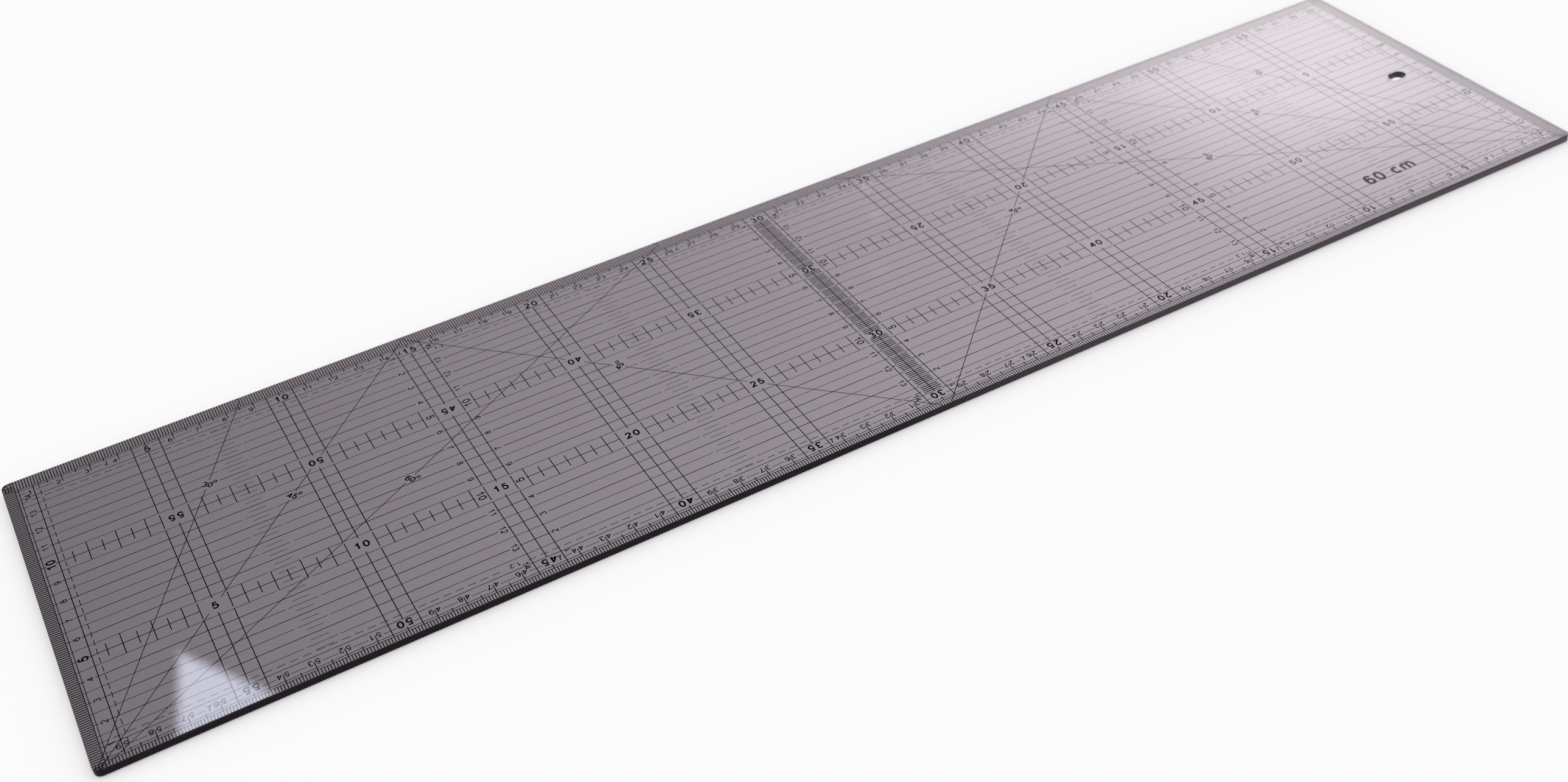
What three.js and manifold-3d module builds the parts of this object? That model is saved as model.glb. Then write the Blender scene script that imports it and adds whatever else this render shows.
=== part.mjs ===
// Quilting ruler: a clear acrylic plate with a hang slot, and its centimetre print on the underside.
// Millimetres, +Z up. The origin is under the middle of the plate, at the bottom of the print.
// X runs along the 600 mm length and Y across the 150 mm width.
// The print is two thin passes of ink: the measuring grid against the plate, then the angle lines.
import * as THREE from "three";
import { mergeGeometries, mergeVertices } from "three/addons/utils/BufferGeometryUtils.js";
import Module from "manifold-3d";

// Plate
const LENGTH = 600;
const WIDTH = 150;
const PLATE_THICKNESS = 3;
const CORNER_RADIUS = 2.5;
const ARRIS = 0.25; // width of the polished edge break, top and bottom
const ARRIS_STEPS = 2;
const CURVE_STEPS = 4; // three.js draws each quarter turn with twice this many straight pieces
const SLOT_LENGTH = 8;
const SLOT_WIDTH = 5;
const SLOT_STRAIGHT = 0.02; // straight side left at each end, which keeps the ends of the arcs apart
const SLOT_FROM_END = 22; // slot centre to the right end, on the plate's long centre line

// Print
const PASS_THICKNESS = 0.05; // each of the two passes of ink
const PRINT_MARGIN = 0.3; // the print stops this far inside the outline
const HEAVY_LINE = 0.3;
const LINE = 0.25;
const CENTIMETRE = 10;
const MAJOR_STEP = 50; // a full-width line every five centimetres
const BASELINE_INSET = 4; // the baseline of an edge scale, from its edge
const END_BASELINE_STOP = 2.3; // the end scales' long lines stop this far from the long edges
const FULL_LINE_INSET = 10; // the unbroken line one centimetre inside each edge
const LONG_TICK = 8; // centimetre ticks on the long edges, from the edge
const NUMBERED_ROWS = [-25, 25]; // Y of the two rows that carry five-centimetre numerals
const ROW_TICK = 5; // half-length of the centimetre ticks of the numbered rows
const CENTRE_RUNG = 3.5; // half-length of the rungs of the scale across the middle
const CENTRE_RUNG_STEP = 5;
const CENTRE_CLEARANCE = 0.5; // from the ends of the rungs to the grid on either side
const ANGLE_LABELS = [30, 45, 60]; // degrees away from the short edge, measured at a front corner
const ANGLE_START = 1.5; // the angle lines start this far in from the front edge, inside the corner

const HALF_LENGTH = LENGTH / 2;
const HALF_WIDTH = WIDTH / 2;
const PRINT_THICKNESS = 2 * PASS_THICKNESS;
const SLOT_X = HALF_LENGTH - SLOT_FROM_END;
const BAND = FULL_LINE_INSET + LINE / 2; // an edge scale with its full line
const BAND_X = HALF_LENGTH - BAND;
const BAND_Y = HALF_WIDTH - BAND;
const CENTRE_BAND = CENTRE_RUNG + CENTRE_CLEARANCE; // half-width of the scale across the middle
const ANGLE_PASS_Z = PASS_THICKNESS / 2; // mid-heights of the two passes
const GRID_PASS_Z = PRINT_THICKNESS - PASS_THICKNESS / 2;
const TINY = 1e-6;
const WELD_DISTANCE = 1e-4;

const wasm = await Module();
wasm.setup();

const acrylic = new THREE.MeshStandardMaterial({
  color: 0xa79fa8,
  roughness: 0.06,
  metalness: 0,
  transparent: true,
  opacity: 0.45,
});
const blackInk = new THREE.MeshStandardMaterial({ color: 0x141216, roughness: 0.6, metalness: 0 });

const ruler = new THREE.Group();

function addPiece(name, geometry, material) {
  const mesh = new THREE.Mesh(geometry, material);
  mesh.name = name;
  ruler.add(mesh);
}

function steps(from, to, step) {
  const values = [];
  for (let value = from; value <= to + TINY; value += step) values.push(value);
  return values;
}

// Plate

function roundedOutline(path, length, width, radius, centreX) {
  const right = centreX + length / 2 - radius;
  const left = centreX - length / 2 + radius;
  const top = width / 2 - radius;
  path.absarc(right, -top, radius, -Math.PI / 2, 0, false);
  path.absarc(right, top, radius, 0, Math.PI / 2, false);
  path.absarc(left, top, radius, Math.PI / 2, Math.PI, false);
  path.absarc(left, -top, radius, Math.PI, 1.5 * Math.PI, false);
  return path;
}

function plateGeometry() {
  const outline = roundedOutline(new THREE.Shape(), LENGTH, WIDTH, CORNER_RADIUS, 0);
  const slotRadius = (SLOT_WIDTH - SLOT_STRAIGHT) / 2;
  outline.holes.push(roundedOutline(new THREE.Path(), SLOT_LENGTH, SLOT_WIDTH, slotRadius, SLOT_X));
  const geometry = new THREE.ExtrudeGeometry(outline, {
    depth: PLATE_THICKNESS - 2 * ARRIS,
    curveSegments: CURVE_STEPS,
    bevelEnabled: true,
    bevelThickness: ARRIS,
    bevelSize: ARRIS,
    bevelOffset: -ARRIS,
    bevelSegments: ARRIS_STEPS,
  });
  geometry.translate(0, 0, PRINT_THICKNESS + ARRIS);
  return geometry;
}

// Grid pass: lines that run along X and lines that run across Y, joined where they meet.
// Each scale is laid out as rectangles (the meetings and the stretches between them), and each
// rectangle is a box without the sides it shares with its neighbours.

const BOX_SIDES = { right: 0, left: 1, back: 2, front: 3, top: 4, bottom: 5 };

function along(y, x0, x1, width = LINE) {
  return { at: y, from: x0, to: x1, width };
}

function across(x, y0, y1, width = LINE) {
  return { at: x, from: y0, to: y1, width };
}

// The stretches of a line that its meetings leave, as [from, to] pairs
function stretches(line, meetings) {
  const spans = [];
  let start = line.from;
  for (const [from, to] of meetings.sort((a, b) => a[0] - b[0])) {
    if (from - start > TINY) spans.push([start, from]);
    start = to;
  }
  if (line.to - start > TINY) spans.push([start, line.to]);
  return spans;
}

function rectangles(alongs, acrosses) {
  const found = [];
  const acrossMeetings = new Map(acrosses.map((line) => [line, []]));
  for (const row of alongs) {
    const y0 = row.at - row.width / 2;
    const y1 = row.at + row.width / 2;
    const rowMeetings = [];
    for (const column of acrosses) {
      const x0 = column.at - column.width / 2;
      const x1 = column.at + column.width / 2;
      const meets = x1 > row.from && x0 < row.to && y1 >= column.from && y0 <= column.to;
      if (!meets) continue;
      found.push([x0, x1, y0, y1]);
      rowMeetings.push([x0, x1]);
      acrossMeetings.get(column).push([y0, y1]);
    }
    for (const [x0, x1] of stretches(row, rowMeetings)) found.push([x0, x1, y0, y1]);
  }
  for (const [column, meetings] of acrossMeetings) {
    const x0 = column.at - column.width / 2;
    const x1 = column.at + column.width / 2;
    for (const [y0, y1] of stretches(column, meetings)) found.push([x0, x1, y0, y1]);
  }
  return found;
}

function sideKeys([x0, x1, y0, y1]) {
  const key = (...ends) => ends.map((value) => value.toFixed(3)).join(" ");
  return {
    right: key(x1, y0, x1, y1),
    left: key(x0, y0, x0, y1),
    back: key(x0, y1, x1, y1),
    front: key(x0, y0, x1, y0),
  };
}

function openBox([x0, x1, y0, y1], sides) {
  const box = new THREE.BoxGeometry(x1 - x0, y1 - y0, PASS_THICKNESS);
  box.translate((x0 + x1) / 2, (y0 + y1) / 2, GRID_PASS_Z);
  const index = [];
  for (const side of sides) {
    const { start, count } = box.groups[BOX_SIDES[side]];
    for (let i = start; i < start + count; i++) index.push(box.index.getX(i));
  }
  box.setIndex(index);
  box.clearGroups();
  return box;
}

function gridPiece(name, alongs, acrosses) {
  const cells = rectangles(alongs, acrosses);
  const uses = new Map();
  for (const cell of cells) {
    for (const key of Object.values(sideKeys(cell))) uses.set(key, (uses.get(key) ?? 0) + 1);
  }
  const boxes = cells.map((cell) => {
    const outer = Object.entries(sideKeys(cell)).filter(([, key]) => uses.get(key) === 1);
    return openBox(cell, ["top", "bottom", ...outer.map(([side]) => side)]);
  });
  addPiece(name, mergeGeometries(boxes), blackInk);
}

const centimetresX = steps(CENTIMETRE - HALF_LENGTH, HALF_LENGTH - CENTIMETRE, CENTIMETRE);
const majorX = centimetresX.filter((x) => x % MAJOR_STEP === 0);
const innerRows = steps(2 * CENTIMETRE - HALF_WIDTH, HALF_WIDTH - 2 * CENTIMETRE, CENTIMETRE);

// A long-edge scale: ticks from the edge, a baseline and the full line, which end at the end scales
function longEdgeScale(name, side) {
  const edge = HALF_WIDTH - PRINT_MARGIN;
  const span = (inset) => (side > 0 ? [HALF_WIDTH - inset, edge] : [-edge, inset - HALF_WIDTH]);
  const ends = HALF_LENGTH - FULL_LINE_INSET - HEAVY_LINE / 2;
  const alongs = [BASELINE_INSET, FULL_LINE_INSET].map((inset) =>
    along(side * (HALF_WIDTH - inset), -ends, ends),
  );
  const acrosses = centimetresX.slice(1, -1).map((x) => {
    const isMajor = x % MAJOR_STEP === 0;
    return across(x, ...span(isMajor ? BAND : LONG_TICK), isMajor ? HEAVY_LINE : LINE);
  });
  gridPiece(name, alongs, acrosses);
}

// A short-edge scale: the baseline and the full line run the whole width, and each centimetre line
// crosses the first and ends on the second
function endScale(name, side) {
  const ends = HALF_WIDTH - END_BASELINE_STOP;
  const inner = HALF_LENGTH - FULL_LINE_INSET - HEAVY_LINE / 2;
  const outer = HALF_LENGTH - PRINT_MARGIN;
  const acrosses = [BASELINE_INSET, FULL_LINE_INSET].map((inset) =>
    across(side * (HALF_LENGTH - inset), -ends, ends, HEAVY_LINE),
  );
  const insets = [BASELINE_INSET, FULL_LINE_INSET].map((inset) => HALF_WIDTH - inset);
  const rows = [...innerRows, ...insets, ...insets.map((y) => -y)];
  const alongs = rows.map((y) => (side > 0 ? along(y, inner, outer) : along(y, -outer, -inner)));
  gridPiece(name, alongs, acrosses);
}

// Half of the grid, between an end scale and the scale across the middle
function fieldGrid(name, side) {
  const inner = CENTRE_BAND;
  const outer = HALF_LENGTH - FULL_LINE_INSET - HEAVY_LINE / 2;
  const alongs = innerRows.map((y) => (side > 0 ? along(y, inner, outer) : along(y, -outer, -inner)));
  const isInside = (x) => side * x > inner && side * x < outer;
  const acrosses = majorX.filter(isInside).map((x) => across(x, -BAND_Y, BAND_Y, HEAVY_LINE));
  for (const x of centimetresX.slice(1, -1)) {
    if (!isInside(x) || x % MAJOR_STEP === 0) continue;
    for (const y of NUMBERED_ROWS) acrosses.push(across(x, y - ROW_TICK, y + ROW_TICK));
  }
  gridPiece(name, alongs, acrosses);
}

function centreScale(name) {
  const alongs = innerRows.map((y) => along(y, -CENTRE_BAND, CENTRE_BAND));
  const rungs = steps(-BAND_Y + CENTRE_RUNG_STEP, BAND_Y - CENTRE_RUNG_STEP, CENTRE_RUNG_STEP);
  for (const rung of rungs) {
    const y = Math.round(rung / CENTRE_RUNG_STEP) * CENTRE_RUNG_STEP;
    if (!innerRows.includes(y)) alongs.push(along(y, -CENTRE_RUNG, CENTRE_RUNG));
  }
  gridPiece(name, alongs, [across(0, -BAND_Y, BAND_Y, HEAVY_LINE)]);
}

// Angle pass: straight lines between the long edges

function angleLine(x0, x1) {
  const y0 = ANGLE_START - HALF_WIDTH;
  const y1 = HALF_WIDTH - PRINT_MARGIN;
  const line = new THREE.BoxGeometry(Math.hypot(x1 - x0, y1 - y0), LINE, PASS_THICKNESS);
  line.rotateZ(Math.atan2(y1 - y0, x1 - x0));
  line.translate((x0 + x1) / 2, (y0 + y1) / 2, ANGLE_PASS_Z);
  return line;
}

// From a front corner, leaning the labelled angle away from the short edge
function cornerLine(side, degrees) {
  const lean = Math.tan(THREE.MathUtils.degToRad(degrees));
  const x = (height) => side * (HALF_LENGTH - height * lean);
  return angleLine(x(ANGLE_START), x(WIDTH - PRINT_MARGIN));
}

// From the middle of the front edge, at 45 degrees
function middleLine(side) {
  return angleLine(side * ANGLE_START, side * (WIDTH - PRINT_MARGIN));
}

function joined(first, second) {
  const toSolid = (geometry) => {
    const bare = geometry.clone();
    bare.deleteAttribute("normal");
    bare.deleteAttribute("uv");
    const merged = mergeVertices(bare, WELD_DISTANCE);
    const vertProperties = new Float32Array(merged.attributes.position.array);
    const triVerts = new Uint32Array(merged.index.array);
    return new wasm.Manifold(new wasm.Mesh({ numProp: 3, vertProperties, triVerts }));
  };
  const mesh = toSolid(first).add(toSolid(second)).getMesh();
  const geometry = new THREE.BufferGeometry();
  geometry.setAttribute("position", new THREE.BufferAttribute(mesh.vertProperties, 3));
  geometry.setIndex(new THREE.BufferAttribute(mesh.triVerts, 1));
  const faceted = geometry.toNonIndexed();
  faceted.computeVertexNormals();
  return faceted;
}

addPiece("acrylic_plate", plateGeometry(), acrylic);
longEdgeScale("front_edge_scale", -1);
longEdgeScale("back_edge_scale", 1);
endScale("left_end_scale", -1);
endScale("right_end_scale", 1);
centreScale("centre_scale");
fieldGrid("left_grid", -1);
fieldGrid("right_grid", 1);
for (const [end, side] of [["left", -1], ["right", 1]]) {
  const [steep, diagonal, shallow] = ANGLE_LABELS.map((degrees) => cornerLine(side, degrees));
  addPiece(`angle_line_30_${end}`, steep, blackInk);
  addPiece(`angle_line_45_${end}`, diagonal, blackInk);
  addPiece(`angle_lines_60_and_middle_45_${end}`, joined(shallow, middleLine(side)), blackInk);
}

export default ruler;
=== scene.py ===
# Quilting ruler: the finished look around its CAD frame.
# The print is laid out in the ruler's own millimetres: x from the left end, y from the front edge.
import math

import bmesh
import bpy
from mathutils import Matrix, Vector


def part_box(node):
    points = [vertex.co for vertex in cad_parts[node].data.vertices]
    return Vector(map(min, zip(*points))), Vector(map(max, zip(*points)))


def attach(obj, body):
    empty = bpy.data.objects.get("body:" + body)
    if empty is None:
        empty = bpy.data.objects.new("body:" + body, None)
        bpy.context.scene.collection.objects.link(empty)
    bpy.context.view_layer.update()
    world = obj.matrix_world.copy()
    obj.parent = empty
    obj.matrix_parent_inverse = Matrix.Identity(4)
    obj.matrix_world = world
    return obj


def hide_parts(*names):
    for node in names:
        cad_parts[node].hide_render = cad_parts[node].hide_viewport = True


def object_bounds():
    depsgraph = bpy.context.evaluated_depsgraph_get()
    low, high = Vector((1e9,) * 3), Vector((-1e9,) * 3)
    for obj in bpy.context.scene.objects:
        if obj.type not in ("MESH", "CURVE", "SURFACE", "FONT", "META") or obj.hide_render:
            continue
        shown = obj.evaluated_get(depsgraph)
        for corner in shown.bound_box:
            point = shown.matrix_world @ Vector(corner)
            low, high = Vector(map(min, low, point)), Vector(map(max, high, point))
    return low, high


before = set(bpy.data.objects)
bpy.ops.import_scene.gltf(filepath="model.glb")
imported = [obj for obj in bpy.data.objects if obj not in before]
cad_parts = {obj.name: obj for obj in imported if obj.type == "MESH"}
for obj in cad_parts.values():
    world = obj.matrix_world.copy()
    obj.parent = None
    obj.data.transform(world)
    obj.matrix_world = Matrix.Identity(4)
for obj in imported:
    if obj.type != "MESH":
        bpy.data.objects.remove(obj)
cad_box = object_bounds()

# ---------------------------------------------------------------- sizes, in millimetres

MM = 0.001
plate_low, plate_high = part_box("acrylic_plate")
LENGTH = round((plate_high.x - plate_low.x) / MM)
WIDTH = round((plate_high.y - plate_low.y) / MM)
UNDERSIDE = plate_low.z / MM

INK_THICKNESS = 0.02
INK_BASE = UNDERSIDE + 0.01  # the ink is bonded into the underside, so it shows through every face
EDGE_GAP = 0.05  # the ink stops just short of the outline
CORNER_RADIUS = 2.5
SLOT_CENTRE = (LENGTH - 22, WIDTH / 2)
# the floor within this reach of the slot's centre glows with painted light
SLOT_REACH = 8  # from the slot's centre to clear of its rim

CM = 10
HALF_CM = 5
MAJOR = 50  # every five centimetres there is a column of three lines and a bold numeral
BOX = 5  # half of the box around each five-centimetre numeral
GRID_END = 4  # the grid lines run to this far from each edge
BASELINES = (4, 5)
NUMBERED_LINE = 7.05  # the fine line that the long-edge numerals sit on
FULL_LINE = 10
DASHED_LINE = 12
DASH_LENGTH = 2.8
DASH_PERIOD = 4.25
ROWS = (50, 100)  # the two rows of bold numerals
HATCH_COLUMNS = (75, 225, 375, 525)
HATCH_HALF = 3
MIDDLE = LENGTH / 2
COLUMN_SCALES = (150, MIDDLE, 450)  # the columns with numerals on both sides
CORNER_FREE = 1.4  # the angle lines start this high, inside the rounded corner

HATCH_WIDTH = 0.2  # line widths
HALF_CM_WIDTH = 0.22
CM_WIDTH = 0.3
COLUMN_WIDTH = 0.33
ROW_WIDTH = 0.31
TICK_WIDTH = 0.33
END_TICK_WIDTH = 0.42
MIDDLE_TICK_WIDTH = 0.44
EDGE_LINE_WIDTH = 0.26
ANGLE_WIDTH = 0.27

NUMERAL = 2.4  # numeral heights
BOLD_NUMERAL = 3.4
LABEL = 2.7
SMALL_LABEL = 1.9
SIZE_MARK = 6.2
LIGHT = 0.155  # stroke widths, as a share of the height
BOLD = 0.19
SIZE_MARK_WEIGHT = 0.2
CLOSE_PITCH = 0.78  # from one figure to the next, as a share of the height
WIDE_PITCH = 1.0
BOLD_PITCH = 0.88

CURVE_STEP = math.radians(22)  # turn between the points of a curved stroke
CLOSING_SHARE = 20  # a stroke whose ends are nearer than its width over this is closed
MITRE_LIMIT = 0.4


def to_metres(x, y, z):
    return Vector(((x - LENGTH / 2) * MM, (y - WIDTH / 2) * MM, z * MM))


# ---------------------------------------------------------------- figures, as strokes one unit tall


def arc(cx, cy, rx, ry, start, end):
    """Points on an ellipse from one angle to another, in degrees."""
    a, b = math.radians(start), math.radians(end)
    count = max(2, round(abs(b - a) / CURVE_STEP))
    angles = [a + (b - a) * i / count for i in range(count + 1)]
    return [(cx + rx * math.cos(t), cy + ry * math.sin(t)) for t in angles]


def turned(strokes, width):
    """The strokes turned upside down about the middle of a figure of this width."""
    return [[(width - x, 1 - y) for x, y in stroke] for stroke in strokes]


FIGURE_WIDTH = 0.56  # before they are widened
FIGURE_BREADTH = 1.15
SIX = [
    arc(0.285, 0.31, 0.265, 0.31, 180, 540),
    arc(0.31, 0.5, 0.29, 0.5, 42, 180) + [(0.02, 0.36)],
]
FIGURES = {
    "0": [arc(0.28, 0.5, 0.27, 0.5, 90, 450)],
    "1": [[(0.08, 0.76), (0.22, 0.84), (0.36, 1.0), (0.36, 0)]],
    "2": [arc(0.28, 0.72, 0.25, 0.28, 170, -30) + [(0.03, 0.0), (0.55, 0.0)]],
    "3": [
        arc(0.27, 0.755, 0.22, 0.245, 160, -90),
        arc(0.27, 0.265, 0.27, 0.265, 90, -165),
    ],
    "4": [[(0.44, 0), (0.44, 1.0)], [(0.44, 0.97), (0.02, 0.27), (0.58, 0.27)]],
    "5": [[(0.5, 1.0), (0.13, 1.0), (0.06, 0.5)] + arc(0.27, 0.32, 0.27, 0.32, 130, -160)],
    "6": SIX,
    "7": [[(0.02, 1.0), (0.54, 1.0), (0.36, 0.7), (0.25, 0.36), (0.21, 0)]],
    "8": [
        arc(0.28, 0.755, 0.21, 0.245, 90, 450),
        arc(0.28, 0.265, 0.27, 0.265, 90, 450),
    ],
    "9": turned(SIX, FIGURE_WIDTH),
    ".": [[(0.18, 0), (0.32, 0)]],
    "c": [arc(0.3, 0.36, 0.29, 0.36, 48, 312)],
    "m": [
        [(0.03, 0), (0.03, 0.72)],
        arc(0.25, 0.48, 0.22, 0.24, 180, 0) + [(0.47, 0)],
        arc(0.69, 0.48, 0.22, 0.24, 180, 0) + [(0.91, 0)],
    ],
}


# ---------------------------------------------------------------- printed pieces


class Print:
    """One printed piece: closed bars and strokes of ink, laid flat in the plate's underside."""

    def __init__(self):
        self.mesh = bmesh.new()

    def slab(self, left, right):
        """A closed strip of ink between two rows of points, given in ruler millimetres."""
        rims = []
        for z in (INK_BASE, INK_BASE + INK_THICKNESS):
            rim = [[self.mesh.verts.new(to_metres(x, y, z)) for x, y in row] for row in (left, right)]
            rims.append(rim)
        (low_left, low_right), (high_left, high_right) = rims
        new = self.mesh.faces.new
        for i in range(len(left) - 1):
            j = i + 1
            new((low_left[i], low_left[j], low_right[j], low_right[i]))
            new((high_left[i], high_right[i], high_right[j], high_left[j]))
            new((low_left[i], high_left[i], high_left[j], low_left[j]))
            new((low_right[i], low_right[j], high_right[j], high_right[i]))
        new((low_left[0], low_right[0], high_right[0], high_left[0]))
        new((low_left[-1], high_left[-1], high_right[-1], low_right[-1]))

    def stroke(self, points, width):
        """A strip that follows the points, with mitred turns."""
        path = [Vector(p) for p in points]
        closed = (path[0] - path[-1]).length < width / CLOSING_SHARE
        left, right = [], []
        for i, point in enumerate(path):
            before = path[i - 1] if i else (path[-2] if closed else None)
            after = path[i + 1] if i + 1 < len(path) else (path[1] if closed else None)
            way_in = (point - before).normalized() if before is not None else None
            way_out = (after - point).normalized() if after is not None else None
            way_in, way_out = way_in or way_out, way_out or way_in
            normal = (way_in.orthogonal() + way_out.orthogonal()).normalized()
            reach = width / 2 / max(normal.dot(way_in.orthogonal()), MITRE_LIMIT)
            left.append(point + normal * reach)
            right.append(point - normal * reach)
        self.slab(left, right)

    def bar(self, x0, y0, x1, y1, width):
        self.stroke(((x0, y0), (x1, y1)), width)

    def row(self, y, x0, x1, width, gaps=()):
        """A line along x, broken at the given (from, to) gaps."""
        for a, b in unbroken(x0, x1, gaps):
            self.bar(a, y, b, y, width)

    def column(self, x, y0, y1, width, gaps=()):
        """A line along y, broken at the given (from, to) gaps."""
        for a, b in unbroken(y0, y1, gaps):
            self.bar(x, a, x, b, width)

    def figures(self, words, x, y, height, turn=0, weight=LIGHT, pitch=CLOSE_PITCH):
        """Figures of the given height, centred on (x, y) and turned by some degrees."""
        width = weight * height
        scale = height - width
        place = Matrix.Rotation(math.radians(turn), 2)
        for i, figure in enumerate(words):
            middle = (i - (len(words) - 1) / 2) * pitch * height
            for stroke in FIGURES[figure]:
                flat = []
                for u, v in stroke:
                    across = middle + (u - FIGURE_WIDTH / 2) * FIGURE_BREADTH * scale
                    flat.append(place @ Vector((across, (v - 0.5) * scale)))
                self.stroke([(x + p.x, y + p.y) for p in flat], width)

    def ring(self, x, y, diameter, width):
        self.stroke(arc(x, y, (diameter - width) / 2, (diameter - width) / 2, 0, 360), width)

    def finish(self, name, material, *nodes):
        """Makes the object, which rides with the ruler and stands for the CAD nodes given."""
        bmesh.ops.recalc_face_normals(self.mesh, faces=self.mesh.faces)
        data = bpy.data.meshes.new(name)
        self.mesh.to_mesh(data)
        self.mesh.free()
        data.materials.append(material)
        piece = bpy.data.objects.new(name, data)
        bpy.context.scene.collection.objects.link(piece)
        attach(piece, "root")
        if nodes:
            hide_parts(*nodes)


def unbroken(start, end, gaps):
    """The stretches of start..end that the gaps leave."""
    spans = []
    for low, high in sorted(gaps):
        if low > start:
            spans.append((start, min(low, end)))
        start = max(start, high)
    if start < end:
        spans.append((start, end))
    return spans


def around(places, half):
    return [(place - half, place + half) for place in places]


def from_edge(inset, far, full):
    """An inset measured from the near edge, or from the far one, as a coordinate."""
    return full - inset if far else inset


def tick_start(place, full, width):
    """How far from its edge a tick starts, which is further in where a corner is rounded."""
    into_corner = max(0, CORNER_RADIUS - min(place, full - place) + width / 2)
    return EDGE_GAP + CORNER_RADIUS - math.sqrt(CORNER_RADIUS**2 - into_corner**2)


def turned_about(point, far):
    """A point, or the same point on the ruler turned half round."""
    x, y = point
    return (LENGTH - x, WIDTH - y) if far else (x, y)


def dashes(start, end):
    spans = []
    while start + DASH_LENGTH < end:
        spans.append((start, start + DASH_LENGTH))
        start += DASH_PERIOD
    return spans


# Long edges. The back edge reads upright from the left; the front edge is the same turned half round.

SEVENS = (35.5, 146.4, 263.8, 343.8, 446.6, 563.4)  # labels of the seven-millimetre line, back edge
TWELVES = (160.3, 460.3)  # labels of the twelve-millimetre line
SEVEN_GAP = 1.3  # half of the break that a label makes in the fine line
TWELVE_GAP = 3  # the dashes stay this far from a label
CM_TICK = 8  # tick ends, from the edge
HALF_CM_TICK = 5.8
EDGE_NUMERAL_INSET = 7.6  # centres of the numerals and labels, from the edge
BOLD_EDGE_NUMERAL_INSET = 7.8
SEVEN_INSET = 7.15
TWELVE_INSET = 12.3
TWELVE_PITCH = 0.66
BOLD_EVERY = 5  # every fifth numeral of an edge scale is bold
SINGLE_SHIFT = -1.5  # a light numeral of one figure stands beside its tick
SHIFT_OF_GAP = 0.8  # the share of that shift that its break in the fine line takes
SINGLE_GAP = 2.0  # half of that break, for one figure, two light figures and two bold ones
DOUBLE_GAP = 2.5
BOLD_GAP = 3.0


def numeral_style(value):
    """(is bold, centre's shift along x, half of the break in the line it sits on) of an edge numeral."""
    bold = value % BOLD_EVERY == 0
    if value >= 10:
        return bold, 0, BOLD_GAP if bold else DOUBLE_GAP
    return bold, 0 if bold else SINGLE_SHIFT, SINGLE_GAP


def long_edge_marks():
    marks = Print()
    numbered_gaps = around(SEVENS, SEVEN_GAP)
    for value in range(1, LENGTH // CM):
        _, shift, half = numeral_style(value)
        numbered_gaps += around([value * CM + shift * SHIFT_OF_GAP], half)
    for far in (False, True):
        for x in range(1, LENGTH):
            if x % MAJOR in (BOX, MAJOR - BOX) and BOX < x < LENGTH - BOX:
                continue  # the columns run through here
            if x % CM == 0:
                tick = HALF_CM_TICK if x % MAJOR == 0 else CM_TICK
            else:
                tick = HALF_CM_TICK if x % HALF_CM == 0 else GRID_END
            start = from_edge(tick_start(x, LENGTH, TICK_WIDTH), far, WIDTH)
            marks.bar(x, start, x, from_edge(tick, far, WIDTH), TICK_WIDTH)
        for inset in BASELINES:
            marks.row(from_edge(inset, far, WIDTH), GRID_END, LENGTH - GRID_END, EDGE_LINE_WIDTH)
        marks.row(from_edge(FULL_LINE, far, WIDTH), GRID_END, LENGTH - GRID_END, EDGE_LINE_WIDTH)
        gaps = numbered_gaps if far else [(LENGTH - high, LENGTH - low) for low, high in numbered_gaps]
        marks.row(from_edge(NUMBERED_LINE, far, WIDTH), GRID_END, LENGTH - GRID_END, HALF_CM_WIDTH, gaps)
        labels = TWELVES if far else [LENGTH - x for x in TWELVES]
        for start, end in dashes(GRID_END, LENGTH - GRID_END):
            if all(abs((start + end) / 2 - x) > TWELVE_GAP for x in labels):
                marks.row(from_edge(DASHED_LINE, far, WIDTH), start, end, EDGE_LINE_WIDTH)
    return marks


def long_edge_numerals():
    marks = Print()
    for far in (False, True):
        turn = 0 if far else 180
        for value in range(1, LENGTH // CM):
            bold, shift, _ = numeral_style(value)
            height = BOLD_NUMERAL if bold else NUMERAL
            y = WIDTH - (BOLD_EDGE_NUMERAL_INSET if bold else EDGE_NUMERAL_INSET)
            x, y = turned_about((value * CM + shift, y), not far)
            weight, pitch = (BOLD, BOLD_PITCH) if bold else (LIGHT, WIDE_PITCH)
            marks.figures(str(value), x, y, height, turn, weight, pitch)
        for label in SEVENS:
            x, y = turned_about((label, WIDTH - SEVEN_INSET), not far)
            marks.figures("7", x, y, NUMERAL, turn + 180)
        for label in TWELVES:
            x, y = turned_about((label, WIDTH - TWELVE_INSET), not far)
            marks.figures("1.2", x, y, SMALL_LABEL, turn, LIGHT, TWELVE_PITCH)
    return marks


# Short ends. The left end reads from the front edge up; the right end is the same turned half round.

END_NUMERALS = 7.4  # centre of the end numerals, from the end
END_GAP = (5.8, 8.9)  # the centimetre lines break here for them
END_DASHES = 2.85  # the dashed line starts this far from the long edges


def end_marks():
    marks = Print()
    for far in (False, True):
        for y in range(1, WIDTH):
            start = from_edge(tick_start(y, WIDTH, END_TICK_WIDTH), far, LENGTH)
            marks.bar(start, y, from_edge(GRID_END, far, LENGTH), y, END_TICK_WIDTH)
        for inset in BASELINES:
            x = from_edge(inset, far, LENGTH)
            marks.column(x, GRID_END, WIDTH - GRID_END, EDGE_LINE_WIDTH)
        marks.column(from_edge(FULL_LINE, far, LENGTH), GRID_END, WIDTH - GRID_END, COLUMN_WIDTH)
        for start, end in dashes(END_DASHES, WIDTH - END_DASHES):
            marks.column(from_edge(DASHED_LINE, far, LENGTH), start, end, EDGE_LINE_WIDTH)
    return marks


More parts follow.
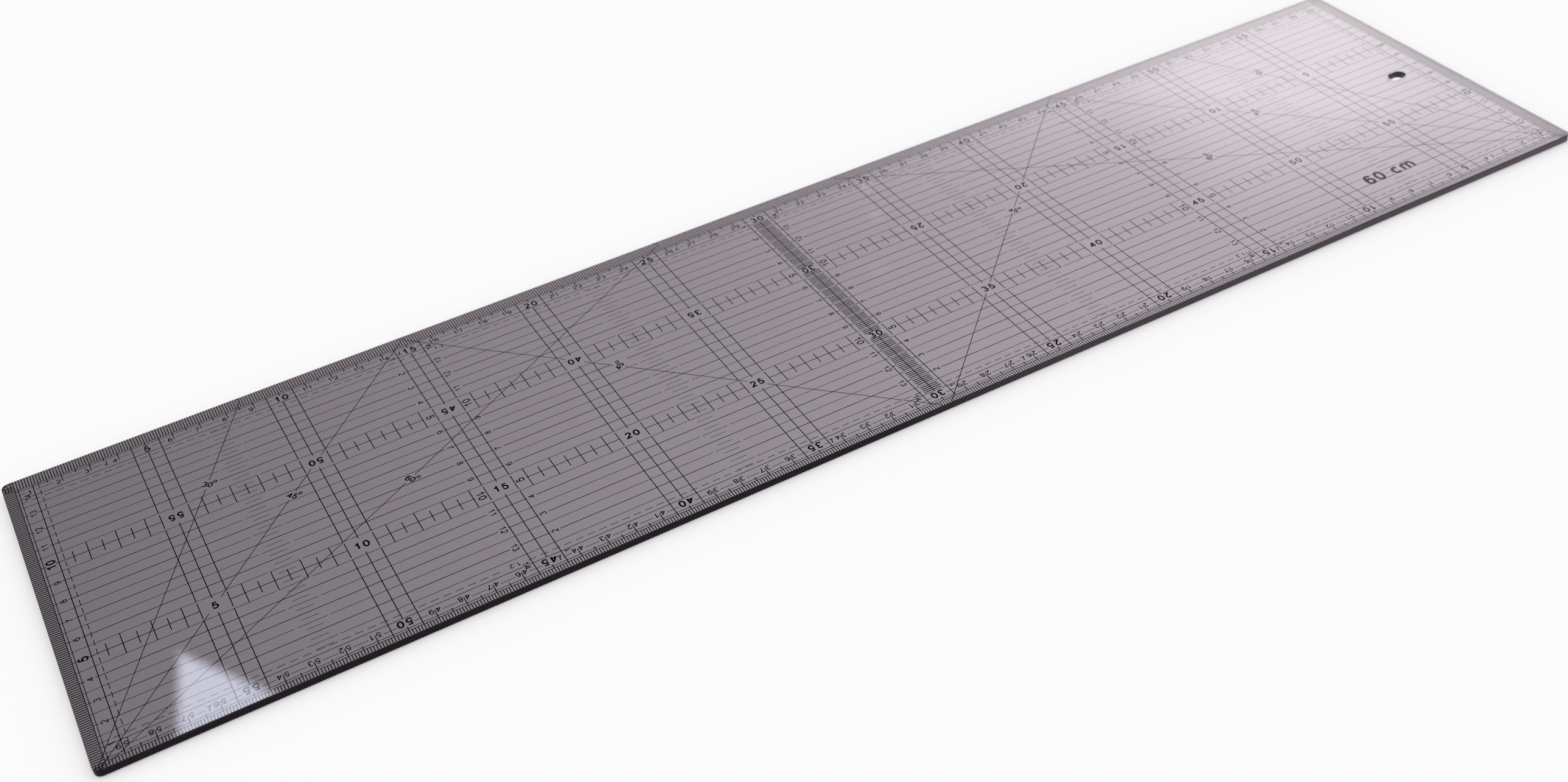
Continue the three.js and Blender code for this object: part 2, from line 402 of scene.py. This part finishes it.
def end_numerals():
    marks = Print()
    for far in (False, True):
        turn = 270 if far else 90
        for value in range(1, WIDTH // CM):
            bold = value % BOLD_EVERY == 0
            x, y = turned_about((END_NUMERALS, value * CM), far)
            height, weight = (BOLD_NUMERAL, BOLD) if bold else (NUMERAL, LIGHT)
            marks.figures(str(value), x, y, height, turn, weight)
    return marks


# Grid, in centimetres and half centimetres, with a column of three lines every five centimetres

COLUMN_NUMERAL = 7.2  # centre of the column numerals, from the column's middle line
COLUMN_GAP = (5.5, 9.1)  # the centimetre lines break here for them
NOTCH = (4, 5)  # the columns' outer lines break this far on either side of each numbered row
CELL = 3.8  # half of the break in a column's middle line for a bold numeral
MIDDLE_CELL = 1.9
SCALE_CELL = 9.5  # half of the break in the rows where a column has numerals on both sides
ROW_START = 15  # first tick of the rows
ROW_HALF_TICK = 3
BOLD_COLUMN_NUMERAL = 3.05
MOVED_NUMERALS = {1: 9.2, 14: 139.9}  # these stand a little off their centimetre
HATCH_START = 12.5
HATCH_COUNT = 26  # half a centimetre apart
MIDDLE_HALF_TICK = 3.5
MIDDLE_CLEARANCE = 2  # from a numbered row to the nearest tick of the middle scale


def numeral_gaps():
    """Where the centimetre lines break for the end and column numerals."""
    low, high = END_GAP
    gaps = [(low, high), (LENGTH - high, LENGTH - low)]
    low, high = COLUMN_GAP
    for x in COLUMN_SCALES:
        gaps += [(x - high, x - low), (x + low, x + high)]
    return gaps


def grid_marks():
    marks = Print()
    end = LENGTH - GRID_END
    for y in range(2 * CM, WIDTH - CM, CM):
        if y not in ROWS:
            marks.row(y, GRID_END, end, CM_WIDTH, numeral_gaps() + label_gaps(y))
    hatch_gaps = []
    for x in HATCH_COLUMNS:
        hatch_gaps += [(x - 2 * HATCH_HALF, x - BOX), (x + BOX, x + 2 * HATCH_HALF)]
    for y in range(CM + HALF_CM, WIDTH - CM, CM):
        marks.row(y, GRID_END, end, HALF_CM_WIDTH, hatch_gaps + label_gaps(y))
    near, wide = NOTCH
    notches = []
    for y in ROWS:
        notches += [(y - wide, y - near), (y + near, y + wide)]
    for x in range(MAJOR, LENGTH, MAJOR):
        for side in (-BOX, BOX):
            marks.column(x + side, EDGE_GAP, WIDTH - EDGE_GAP, COLUMN_WIDTH, notches)
        cell = MIDDLE_CELL if x == MIDDLE else CELL
        marks.column(x, FULL_LINE, WIDTH - FULL_LINE, COLUMN_WIDTH, around(ROWS, cell))
    return marks


def row_marks():
    marks = Print()
    cells = around(range(MAJOR, LENGTH, MAJOR), BOX)
    cells += around(COLUMN_SCALES, SCALE_CELL)
    low, high = END_GAP
    cells += [(low, high), (LENGTH - high, LENGTH - low)]
    for y in ROWS:
        marks.row(y, GRID_END, LENGTH - GRID_END, ROW_WIDTH, cells)
        for x in range(ROW_START, LENGTH - CM, HALF_CM):
            if x % MAJOR in (0, BOX, MAJOR - BOX):
                continue
            half = BOX if x % CM == 0 else ROW_HALF_TICK
            marks.bar(x, y - half, x, y + half, TICK_WIDTH)
    return marks


def row_numerals():
    marks = Print()
    for x in range(MAJOR, LENGTH, MAJOR):
        value = str(x // CM)
        for far in (False, True):
            px, py = turned_about((x, ROWS[0]), far)
            marks.figures(value, px, py, BOLD_NUMERAL, 180 if far else 0, BOLD, BOLD_PITCH)
    return marks


def column_numerals():
    marks = Print()
    for x in COLUMN_SCALES:
        for value in range(1, WIDTH // CM):
            height = BOLD_COLUMN_NUMERAL if value % BOLD_EVERY == 0 else NUMERAL
            y = MOVED_NUMERALS.get(value, value * CM)
            marks.figures(str(value), x + COLUMN_NUMERAL, y, height, 90)
            marks.figures(str(value), x - COLUMN_NUMERAL, WIDTH - y, height, 270)
    return marks


def hatch_marks():
    marks = Print()
    for x in HATCH_COLUMNS:
        for step in range(HATCH_COUNT):
            y = HATCH_START + step * HALF_CM
            marks.bar(x - HATCH_HALF, y, x + HATCH_HALF, y, HATCH_WIDTH)
    return marks


def middle_marks():
    marks = Print()
    for y in range(FULL_LINE + 1, WIDTH - FULL_LINE):
        beside_numeral = any(abs(y - row) < MIDDLE_CLEARANCE for row in ROWS)
        if y % HALF_CM and not beside_numeral:
            marks.bar(MIDDLE - MIDDLE_HALF_TICK, y, MIDDLE + MIDDLE_HALF_TICK, y, MIDDLE_TICK_WIDTH)
    return marks


# Angle lines fan out of the front corners, and two more leave the middle of the front edge

ANGLE_LINES = (
    # foot, angle away from the short edge, heights of the left and right label, turn of the label
    (0, 30, (110.2, 112.8), -36),
    (0, 45, (87.4, 87.9), -45),
    (0, 60, (72.3, 72.6), -52),
    (MIDDLE, -45, (87.5, 87.3), 43),
)
LABEL_HALF = 2.35  # half of the break that a label makes in its line
LABEL_CLEARANCE = 4.4  # how far past a label's centre a line of the grid breaks for it
MIDDLE_PAIR = 100  # labels nearer than this to the middle are those of the two lines that leave it
ON_LABEL = 1  # a line this near the label's height breaks for it
NEAR_LABEL = 3  # a centimetre line this near breaks for one of the middle pair
LABEL_PITCH = 0.73
DEGREE_SIGN = Vector((2.2, 1.8))  # its place beside and above the label's centre
DEGREE_DIAMETER = 1.5
DEGREE_WIDTH = 0.4
NUMERAL_CELL = 2.7 * math.sqrt(2)  # half of the break where a line crosses a bold numeral
SIZE_MARK_LINE = 22.7
SIZE_MARK_FIGURES = (("60", 516.5, 0.85), ("c", 527.3, CLOSE_PITCH), ("m", 532.2, CLOSE_PITCH))


def on_angle_line(foot, angle, height, far):
    x = foot + height * math.tan(math.radians(angle))
    return Vector((LENGTH - x if far else x, height))


def labels_on_angle_lines():
    """Number, centre and turn of each label, on the left and the right half."""
    for foot, angle, heights, turn in ANGLE_LINES:
        for far, height in zip((False, True), heights):
            yield str(abs(angle)), on_angle_line(foot, angle, height, far), -turn if far else turn


def label_gaps(y):
    """Where a line of the grid breaks for the degree labels."""
    gaps = []
    for _, centre, _ in labels_on_angle_lines():
        away = abs(centre.y - y)
        of_middle_pair = abs(centre.x - MIDDLE) < MIDDLE_PAIR
        if away < ON_LABEL or (away < NEAR_LABEL and of_middle_pair and y % CM == 0):
            gaps.append((centre.x - LABEL_CLEARANCE / 2, centre.x + LABEL_CLEARANCE))
    return gaps


def angle_marks():
    marks = Print()
    top = WIDTH - EDGE_GAP - ANGLE_WIDTH
    for foot, angle, heights, _ in ANGLE_LINES:
        for far, height in zip((False, True), heights):
            start, end, label = (on_angle_line(foot, angle, y, far) for y in (CORNER_FREE, top, height))
            way = (end - start).normalized()
            gaps = around([(label - start).dot(way)], LABEL_HALF)
            for x in range(MAJOR, LENGTH, MAJOR):
                for y in ROWS:
                    along = (Vector((x, y)) - start).dot(way)
                    if (start + way * along - Vector((x, y))).length < 1:
                        gaps += around([along], NUMERAL_CELL)
            for a, b in unbroken(0, (end - start).length, gaps):
                marks.stroke([tuple(start + way * t) for t in (a, b)], ANGLE_WIDTH)
    return marks


def angle_labels():
    marks = Print()
    for number, centre, turn in labels_on_angle_lines():
        marks.figures(number, centre.x, centre.y, LABEL, turn, BOLD, LABEL_PITCH)
        sign = centre + Matrix.Rotation(math.radians(turn), 2) @ DEGREE_SIGN
        marks.ring(sign.x, sign.y, DEGREE_DIAMETER, DEGREE_WIDTH)
    return marks


def size_mark():
    marks = Print()
    for words, x, pitch in SIZE_MARK_FIGURES:
        marks.figures(words, x, SIZE_MARK_LINE, SIZE_MARK, 0, SIZE_MARK_WEIGHT, pitch)
    return marks


# ---------------------------------------------------------------- materials

SURFACE_TINT = (0.62, 0.55, 0.612, 1)
ABSORPTION = 169  # per metre, in the thickness of the sheet
ACRYLIC_IOR = 1.49
WIPE_SCALE = 9
WIPE_ROUGHNESS = 0.006  # where the wipe marks are strongest
GRAIN_SCALE = 900
DARK_INK = (0.003, 0.0025, 0.003, 1)
PALE_INK = (0.012, 0.011, 0.012, 1)


def new_material(name):
    material = bpy.data.materials.new(name)
    material.use_nodes = True
    material.node_tree.nodes.clear()
    return material, material.node_tree.nodes, material.node_tree.links


def acrylic_material():
    """Clear cast acrylic with a smoky mauve tint and faint wipe marks; its shadow lets light through."""
    material, nodes, links = new_material("clear_acrylic")
    output = nodes.new("ShaderNodeOutputMaterial")
    body = nodes.new("ShaderNodeBsdfPrincipled")
    body.inputs["Base Color"].default_value = SURFACE_TINT
    body.inputs["Transmission Weight"].default_value = 1
    body.inputs["IOR"].default_value = ACRYLIC_IOR
    place = nodes.new("ShaderNodeTexCoord")
    wipes = nodes.new("ShaderNodeTexNoise")
    wipes.inputs["Scale"].default_value = WIPE_SCALE
    wipes.inputs["Detail"].default_value = 3
    links.new(place.outputs["Object"], wipes.inputs["Vector"])
    polish = nodes.new("ShaderNodeMapRange")
    polish.inputs["To Min"].default_value = 0.0
    polish.inputs["To Max"].default_value = WIPE_ROUGHNESS
    links.new(wipes.outputs["Fac"], polish.inputs["Value"])
    links.new(polish.outputs["Result"], body.inputs["Roughness"])
    clear = nodes.new("ShaderNodeBsdfTransparent")
    clear.inputs["Color"].default_value = [math.sqrt(part) for part in SURFACE_TINT]
    path = nodes.new("ShaderNodeLightPath")
    either = nodes.new("ShaderNodeMath")
    either.operation = "MAXIMUM"
    links.new(path.outputs["Is Shadow Ray"], either.inputs[0])
    links.new(path.outputs["Is Diffuse Ray"], either.inputs[1])
    mix = nodes.new("ShaderNodeMixShader")
    links.new(either.outputs["Value"], mix.inputs["Fac"])
    links.new(body.outputs["BSDF"], mix.inputs[1])
    links.new(clear.outputs["BSDF"], mix.inputs[2])
    links.new(mix.outputs["Shader"], output.inputs["Surface"])
    depth = nodes.new("ShaderNodeVolumeAbsorption")
    depth.inputs["Color"].default_value = (0, 0, 0, 1)
    depth.inputs["Density"].default_value = ABSORPTION
    links.new(depth.outputs["Volume"], output.inputs["Volume"])
    return material


def ink_material():
    """Matte black screen ink, a little uneven in depth."""
    material, nodes, links = new_material("black_ink")
    output = nodes.new("ShaderNodeOutputMaterial")
    ink = nodes.new("ShaderNodeBsdfPrincipled")
    ink.inputs["Roughness"].default_value = 0.7
    ink.inputs["Specular IOR Level"].default_value = 0.1
    place = nodes.new("ShaderNodeTexCoord")
    grain = nodes.new("ShaderNodeTexNoise")
    grain.inputs["Scale"].default_value = GRAIN_SCALE
    links.new(place.outputs["Object"], grain.inputs["Vector"])
    depth = nodes.new("ShaderNodeMix")
    depth.data_type = "RGBA"
    depth.inputs["A"].default_value = DARK_INK
    depth.inputs["B"].default_value = PALE_INK
    links.new(grain.outputs["Fac"], depth.inputs["Factor"])
    links.new(depth.outputs["Result"], ink.inputs["Base Color"])
    links.new(ink.outputs["BSDF"], output.inputs["Surface"])
    return material


FLOOR_SHADE = (0.97, 0.97, 0.97, 1)
# (distance from the left end, brightness) of the painted light that the floor gives off where it shows
# through the plate, brighter to the right
PAINTED_LIGHT_THROUGH = ((0, 0.60), (100, 0.72), (250, 0.98), (400, 1.35), (450, 1.42), (600, 1.46))
# ... and of the painted reflection that it gives off where the side faces reflect it, darker towards the
# left end
PAINTED_REFLECTION_IN_SIDES = ((0, 0.3), (280, 0.35), (350, 0.9), (600, 1.2))
WHITE = (1, 1, 1)
# tint of the painted reflection in the side faces
PAINTED_REFLECTION_MAUVE = (0.97, 0.82, 0.95)


def floor_material():
    """Pale paint that glows with painted light and painted reflections, brightening along the ruler, where
    the acrylic refracts or reflects it.
    """
    material, nodes, links = new_material("pale_floor_painted_light")
    output = nodes.new("ShaderNodeOutputMaterial")
    paint = nodes.new("ShaderNodeBsdfPrincipled")
    paint.inputs["Base Color"].default_value = FLOOR_SHADE
    paint.inputs["Roughness"].default_value = 0.9
    paint.inputs["Specular IOR Level"].default_value = 0
    place = nodes.new("ShaderNodeNewGeometry")
    along = nodes.new("ShaderNodeSeparateXYZ")
    links.new(place.outputs["Position"], along.inputs["Vector"])
    share = nodes.new("ShaderNodeMapRange")
    share.inputs["From Min"].default_value = to_metres(0, 0, 0).x
    share.inputs["From Max"].default_value = to_metres(LENGTH, 0, 0).x
    links.new(along.outputs["X"], share.inputs["Value"])
    path = nodes.new("ShaderNodeLightPath")
    surface = paint.outputs["BSDF"]
    # a ray that has gone through the plate counts as glossy too, so it is dealt with last
    # for rays that reach it through the plate, the floor's paint gives way to painted light, and for rays
    # off the plate's faces, to a painted reflection
    shown = (("Is Glossy Ray", PAINTED_REFLECTION_IN_SIDES, PAINTED_REFLECTION_MAUVE), ("Is Transmission Ray", PAINTED_LIGHT_THROUGH, WHITE))
    for kind, stops, colour in shown:
        ramp = nodes.new("ShaderNodeValToRGB")
        while len(ramp.color_ramp.elements) < len(stops):
            ramp.color_ramp.elements.new(1)
        for element, (x, brightness) in zip(ramp.color_ramp.elements, stops):
            element.position = x / LENGTH
            element.color = [brightness * part for part in colour] + [1]
        links.new(share.outputs["Result"], ramp.inputs["Fac"])
        painted_glow = nodes.new("ShaderNodeEmission")
        links.new(ramp.outputs["Color"], painted_glow.inputs["Color"])
        mix = nodes.new("ShaderNodeMixShader")
        links.new(path.outputs[kind], mix.inputs["Fac"])
        links.new(surface, mix.inputs[1])
        links.new(painted_glow.outputs["Emission"], mix.inputs[2])
        surface = mix.outputs["Shader"]
    # painted light: seen straight through the slot, the floor glows pure white, a little brighter than the
    # open floor, in place of the shade under the plate
    from_slot = nodes.new("ShaderNodeVectorMath")
    from_slot.operation = "DISTANCE"
    from_slot.inputs[1].default_value = to_metres(*SLOT_CENTRE, 0)
    links.new(place.outputs["Position"], from_slot.inputs[0])
    in_slot = nodes.new("ShaderNodeMath")
    in_slot.operation = "LESS_THAN"
    in_slot.inputs[1].default_value = SLOT_REACH * MM
    links.new(from_slot.outputs["Value"], in_slot.inputs[0])
    straight = nodes.new("ShaderNodeMath")
    straight.operation = "MULTIPLY"
    links.new(in_slot.outputs["Value"], straight.inputs[0])
    links.new(path.outputs["Is Camera Ray"], straight.inputs[1])
    painted_slot_light = nodes.new("ShaderNodeEmission")
    mix = nodes.new("ShaderNodeMixShader")
    links.new(straight.outputs["Value"], mix.inputs["Fac"])
    links.new(surface, mix.inputs[1])
    links.new(painted_slot_light.outputs["Emission"], mix.inputs[2])
    links.new(mix.outputs["Shader"], output.inputs["Surface"])
    return material


# ---------------------------------------------------------------- studio

ROOM_DARK = 0.03
ROOM_BEHIND = 0.9  # the lit part of the room, on the camera's side
# the share of a direction that points to -Y where that part begins, and where it is at its full strength
BEHIND_START = -0.3
BEHIND_FULL = 0.6
ROOM_COLOUR = (1.0, 0.96, 1.0)
SOFTBOX_COLOUR = (0.93, 1.0, 1.2)
WINDOW = (44.3, -28.7)  # bearing from +Y towards +X, and height, in degrees
WINDOW_START = 0.3085  # cosine of the angle from the window at which its light begins
WINDOW_REACH = 0.2  # change of that cosine in which the light rises to WINDOW_RISE
WINDOW_RISE = 2.07
WINDOW_POWER = 5.1
WINDOW_BRIGHT = 2.6
SOFTBOX = 6.8
SOFTBOX_EDGE = 0.004
SOFTBOX_CORNERS = ((-0.76, 42.4), (-6.2, 50.65), (11.1, 50.3))  # bearing and height, in degrees
# (bearing, height, radius in radians, strength, colour) of what else shines in the plate
GLINTS = (
    (29.4, 32.9, 0.0045, 0.6, (0.95, 1.0, 1.1)),
    (29.7, 33.8, 0.005, 0.35, (0.95, 1.0, 1.1)),
    (29.7, 35.5, 0.006, 0.25, (0.95, 1.0, 1.1)),
    (43.9, 29.1, 0.09, 0.9, (1.0, 0.97, 0.86)),
)


def direction(bearing, height):
    b, h = math.radians(bearing), math.radians(height)
    return Vector((math.sin(b) * math.cos(h), math.cos(b) * math.cos(h), math.sin(h)))


def reflected_room(nodes, links):
    """The room as the plate reflects it: a bright wall to one side, a softbox and faint lamps."""
    place = nodes.new("ShaderNodeTexCoord")

    def math_node(kind, a, b):
        node = nodes.new("ShaderNodeMath")
        node.operation = kind
        for socket, value in zip(node.inputs, (a, b)):
            if isinstance(value, (int, float)):
                socket.default_value = value
            else:
                links.new(value, socket)
        return node.outputs["Value"]

    def rise(value, low, high):
        """0 below low, 1 above high and smooth between."""
        node = nodes.new("ShaderNodeMapRange")
        node.interpolation_type = "SMOOTHSTEP"
        node.inputs["From Min"].default_value = low
        node.inputs["From Max"].default_value = high
        links.new(value, node.inputs["Value"])
        return node.outputs["Result"]

    def towards(vector):
        node = nodes.new("ShaderNodeVectorMath")
        node.operation = "DOT_PRODUCT"
        node.inputs[1].default_value = vector
        links.new(place.outputs["Generated"], node.inputs[0])
        return node.outputs["Value"]

    def tinted(strength, colour):
        node = nodes.new("ShaderNodeVectorMath")
        node.operation = "SCALE"
        node.inputs[0].default_value = colour
        links.new(strength, node.inputs["Scale"])
        return node.outputs["Vector"]

    def plus(a, b):
        node = nodes.new("ShaderNodeVectorMath")
        links.new(a, node.inputs[0])
        links.new(b, node.inputs[1])
        return node.outputs["Vector"]

    facing = math_node("SUBTRACT", towards(direction(*WINDOW)), WINDOW_START)
    facing = math_node("MAXIMUM", math_node("DIVIDE", facing, WINDOW_REACH), 0)
    window = math_node("MULTIPLY", math_node("POWER", facing, WINDOW_POWER), WINDOW_RISE)
    window = math_node("MINIMUM", window, WINDOW_BRIGHT)
    behind = math_node("MULTIPLY", rise(towards((0, -1, 0)), BEHIND_START, BEHIND_FULL), ROOM_BEHIND)
    room = tinted(math_node("ADD", math_node("ADD", window, behind), ROOM_DARK), ROOM_COLOUR)
    corners = [direction(*corner) for corner in SOFTBOX_CORNERS]
    softbox = SOFTBOX
    for start, end in zip(corners, corners[1:] + corners[:1]):
        inside = rise(towards(start.cross(end).normalized()), -SOFTBOX_EDGE, SOFTBOX_EDGE)
        softbox = math_node("MULTIPLY", inside, softbox)
    room = plus(room, tinted(softbox, SOFTBOX_COLOUR))
    for bearing, height, radius, strength, colour in GLINTS:
        facing = towards(direction(bearing, height))
        lamp = math_node("MULTIPLY", rise(facing, math.cos(radius), 1), strength)
        room = plus(room, tinted(lamp, colour))
    return room


def studio_world():
    """Even white light on everything, and a separate room for the polished plate to reflect."""
    world = bpy.data.worlds.new("studio")
    bpy.context.scene.world = world
    world.use_nodes = True
    nodes, links = world.node_tree.nodes, world.node_tree.links
    nodes.clear()
    output = nodes.new("ShaderNodeOutputWorld")
    light = nodes.new("ShaderNodeBackground")
    light.inputs["Color"].default_value = (1, 1, 1, 1)
    room = nodes.new("ShaderNodeBackground")
    links.new(reflected_room(nodes, links), room.inputs["Color"])
    path = nodes.new("ShaderNodeLightPath")
    seen = nodes.new("ShaderNodeMath")
    seen.operation = "MAXIMUM"
    links.new(path.outputs["Is Glossy Ray"], seen.inputs[0])
    links.new(path.outputs["Is Transmission Ray"], seen.inputs[1])
    mix = nodes.new("ShaderNodeMixShader")
    links.new(seen.outputs["Value"], mix.inputs["Fac"])
    links.new(light.outputs["Background"], mix.inputs[1])
    links.new(room.outputs["Background"], mix.inputs[2])
    links.new(mix.outputs["Shader"], output.inputs["Surface"])


FLOOR_REACH = 8.0  # metres, as is the gap below the ruler
FLOOR_GAP = 0.0002


def add_floor():
    far = FLOOR_REACH
    corners = [(-far, -far, 0), (far, -far, 0), (far, far, 0), (-far, far, 0)]
    data = bpy.data.meshes.new("floor")
    data.from_pydata(corners, [], [(0, 1, 2, 3)])
    data.materials.append(floor_material())
    floor = bpy.data.objects.new("floor", data)
    floor.location.z = cad_box[0][2] - FLOOR_GAP
    bpy.context.scene.collection.objects.link(floor)


CAMERA_PLACE = (-0.2597, -0.4853, 0.4085)  # metres
CAMERA_LENS = 41.37
CAMERA_BEARING = 25.55  # from +Y towards +X; this and the next two are in degrees
CAMERA_FALL = 39.17
CAMERA_LEAN = -5.71
FOCUS = (100, 50)  # the far end of the ruler is a little out of focus
APERTURE = 15


def add_camera():
    """A camera above the left end that looks down the ruler's length."""
    data = bpy.data.cameras.new("camera")
    data.sensor_width = 36
    data.lens = CAMERA_LENS
    data.clip_start = 0.01
    camera = bpy.data.objects.new("camera", data)
    bpy.context.scene.collection.objects.link(camera)
    look = direction(CAMERA_BEARING, -CAMERA_FALL)
    lean = math.radians(CAMERA_LEAN)
    level = look.cross(Vector((0, 0, 1))).normalized()
    rise = level.cross(look)
    right = math.cos(lean) * level + math.sin(lean) * rise
    up = math.cos(lean) * rise - math.sin(lean) * level
    turn = Matrix((right, up, -look)).transposed().to_4x4()
    camera.matrix_world = Matrix.Translation(CAMERA_PLACE) @ turn
    bpy.context.scene.camera = camera
    focus = bpy.data.objects.new("focus", None)
    focus.location = to_metres(*FOCUS, 0)
    bpy.context.scene.collection.objects.link(focus)
    data.dof.use_dof = True
    data.dof.focus_object = focus
    data.dof.aperture_fstop = APERTURE


# ---------------------------------------------------------------- the ruler

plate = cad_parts["acrylic_plate"]
plate.data.materials.clear()
plate.data.materials.append(acrylic_material())

ink = ink_material()
angle_nodes = [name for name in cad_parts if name.startswith("angle_line")]
long_edge_marks().finish("long_edge_marks", ink, "front_edge_scale", "back_edge_scale")
long_edge_numerals().finish("long_edge_numerals", ink)
end_marks().finish("end_marks", ink, "left_end_scale", "right_end_scale")
end_numerals().finish("end_numerals", ink)
grid_marks().finish("grid_marks", ink, "left_grid", "right_grid")
row_marks().finish("row_marks", ink)
row_numerals().finish("row_numerals", ink)
column_numerals().finish("column_numerals", ink)
hatch_marks().finish("hatch_marks", ink)
middle_marks().finish("middle_marks", ink, "centre_scale")
angle_marks().finish("angle_marks", ink, *angle_nodes)
angle_labels().finish("angle_labels", ink)
size_mark().finish("size_mark", ink)

add_floor()
studio_world()
add_camera()
bpy.context.scene.view_settings.view_transform = "Standard"
